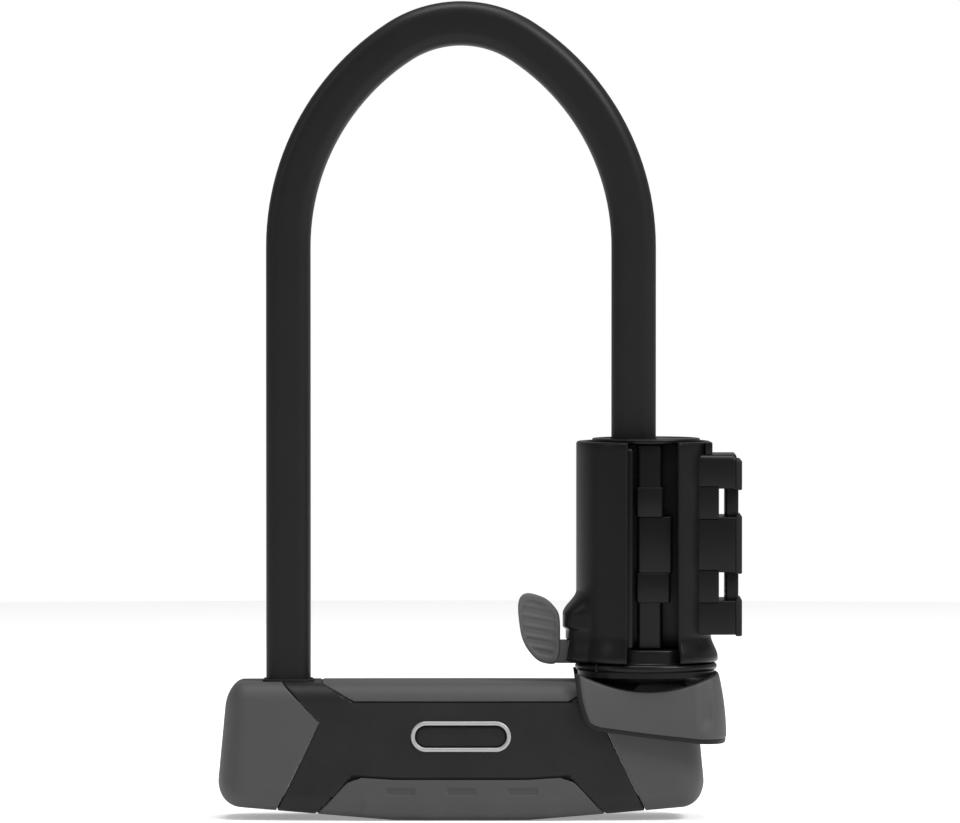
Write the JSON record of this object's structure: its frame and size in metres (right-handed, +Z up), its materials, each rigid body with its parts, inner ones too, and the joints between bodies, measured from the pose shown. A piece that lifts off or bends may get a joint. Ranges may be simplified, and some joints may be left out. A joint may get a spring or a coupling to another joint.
{
  "type": "bicycle u lock",
  "caption": "Square-bar bicycle U lock with a key-locked crossbar and a clip-on frame bracket that grips a spool on the crossbar and lets go at a thumb lever.",
  "frame": {"origin": "on the ground, under the middle of the whole object's box, bracket included", "axes": "+Z up along the shackle's legs, +X from the left leg to the right leg with the bracket, -Y towards the front with the badge"},
  "size_m": [0.1887, 0.0515, 0.2945],
  "materials": {
    "black_plastic": "fine-grained black moulded plastic",
    "grey_plastic": "matt dark grey moulded plastic",
    "shackle_coating": "soft satin plastic coat",
    "black_rubber": "matt rubber",
    "hardened_steel": "plain hardened steel",
    "cast_zinc": "cast zinc alloy, matt",
    "brass": "machined brass",
    "badge_metal": "satin silver-grey ring"
  },
  "bodies": {
    "crossbar": {"lock_tube": "hardened_steel", "left_end_plug": "hardened_steel", "right_end_plug": "hardened_steel", "left_socket_block": "cast_zinc", "right_socket_block": "cast_zinc", "bolt_guide": "cast_zinc", "bolt_cover": "hardened_steel", "cylinder_housing": "brass", "front_cover": "black_plastic", "rear_cover": "black_plastic", "left_end_cap": "grey_plastic", "right_end_cap": "grey_plastic", "top_strip": "grey_plastic", "bottom_strip": "grey_plastic", "badge_ring": "badge_metal", "badge_plate": "black_plastic", "left_leg_bushing": "black_rubber", "right_leg_bushing": "black_rubber", "shutter_spring": "hardened_steel", "adapter_base": "black_plastic", "adapter_spool": "black_plastic", "spool_cap": "black_plastic", "adapter_boot": "grey_plastic", "boot_gasket": "black_rubber", "clamp_screw_1": "hardened_steel", "clamp_screw_2": "hardened_steel"},
    "shackle": {"shackle_bar": "hardened_steel", "shackle_coat": "shackle_coating"},
    "key_cylinder": {"cylinder_plug": "brass", "locking_disc_1": "brass", "locking_disc_2": "brass", "locking_disc_3": "brass", "locking_disc_4": "brass", "locking_disc_5": "brass", "side_bar": "hardened_steel", "cam_disc": "hardened_steel"},
    "left_bolt": {"left_bolt": "hardened_steel"},
    "right_bolt": {"right_bolt": "hardened_steel"},
    "shutter": {"keyhole_shutter": "black_plastic"},
    "bracket": {"bracket_housing": "black_plastic", "saddle_plate": "black_plastic", "saddle_pad_lower": "black_rubber", "saddle_pad_middle": "black_rubber", "saddle_pad_upper": "black_rubber", "saddle_screw_1": "hardened_steel", "saddle_screw_2": "hardened_steel", "lever_pin": "hardened_steel", "lever_spring": "hardened_steel"},
    "lever": {"release_lever": "grey_plastic"}
  },
  "joints": [
    {"name": "shackle_slide", "type": "slide", "parent": "crossbar", "child": "shackle", "axis": [0, 0, 1], "range_m": [0, 0.13]},
    {"name": "key_turn", "type": "hinge", "parent": "crossbar", "child": "key_cylinder", "pos_m": [-0.0063, 0, 0.02], "axis": [0, 0, -1], "range_deg": [0, 90]},
    {"name": "left_bolt_slide", "type": "slide", "parent": "crossbar", "child": "left_bolt", "axis": [-1, 0, 0], "range_m": [0, 0.00636]},
    {"name": "right_bolt_slide", "type": "slide", "parent": "crossbar", "child": "right_bolt", "axis": [1, 0, 0], "range_m": [0, 0.00636]},
    {"name": "shutter_slide", "type": "slide", "parent": "crossbar", "child": "shutter", "axis": [1, 0, 0], "range_m": [0, 0.0072], "stiffness_N_per_m": 80, "springref_m": -0.003, "deforming": ["shutter_spring"]},
    {"name": "bracket_slide", "type": "slide", "parent": "crossbar", "child": "bracket", "axis": [0, 0, 1], "range_m": [0, 0.08]},
    {"name": "lever_swing", "type": "hinge", "parent": "bracket", "child": "lever", "pos_m": [0.03445, -0.003, 0.06], "axis": [0, 0, -1], "range_deg": [0, 18], "stiffness_Nm_per_rad": 0.08, "springref_deg": -8.59, "deforming": ["lever_spring"]}
  ],
  "couplings": [
    {"joint": "key_turn", "follows": "left_bolt_slide", "rad_per_m": 246.82},
    {"joint": "right_bolt_slide", "follows": "left_bolt_slide", "ratio": 1}
  ]
}
